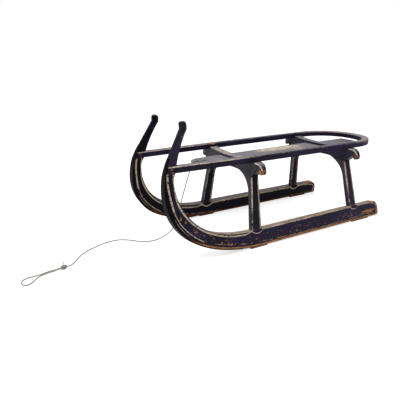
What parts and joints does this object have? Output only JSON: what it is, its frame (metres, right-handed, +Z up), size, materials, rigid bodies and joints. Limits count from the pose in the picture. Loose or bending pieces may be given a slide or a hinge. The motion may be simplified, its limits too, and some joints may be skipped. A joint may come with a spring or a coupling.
{
  "type": "sled",
  "caption": "Bentwood sled with upswept horned runners, splayed legs, scrolled bunks, a bent hoop rail, a deck plank and a looped tow cord.",
  "frame": {"origin": "on the floor under the middle of the sled, cord left out", "axes": "+X forward, the way the sled is towed; +Y to its left; +Z up"},
  "size_m": [1.4141, 0.416, 0.4483],
  "materials": {
    "dark_paint": "worn near-black paint with cream edges",
    "deck_paint": "dusty worn paint",
    "shoe_iron": "dark rusted iron",
    "pad_wood": "worn red-brown",
    "cord": "twisted cord"
  },
  "bodies": {
    "root": {"runner_left": "dark_paint", "runner_right": "dark_paint", "shoe_left": "shoe_iron", "shoe_right": "shoe_iron", "pad_front_left": "pad_wood", "pad_front_right": "pad_wood", "pad_rear_left": "pad_wood", "pad_rear_right": "pad_wood", "leg_front_left": "dark_paint", "leg_front_right": "dark_paint", "leg_rear_left": "dark_paint", "leg_rear_right": "dark_paint", "bunk_front": "dark_paint", "bunk_rear": "dark_paint", "seat_hoop": "dark_paint", "deck_plank": "deck_paint", "stopper_knot": "cord", "tow_cord": "cord", "tow_knot": "cord", "tow_loop": "cord"}
  },
  "joints": []
}
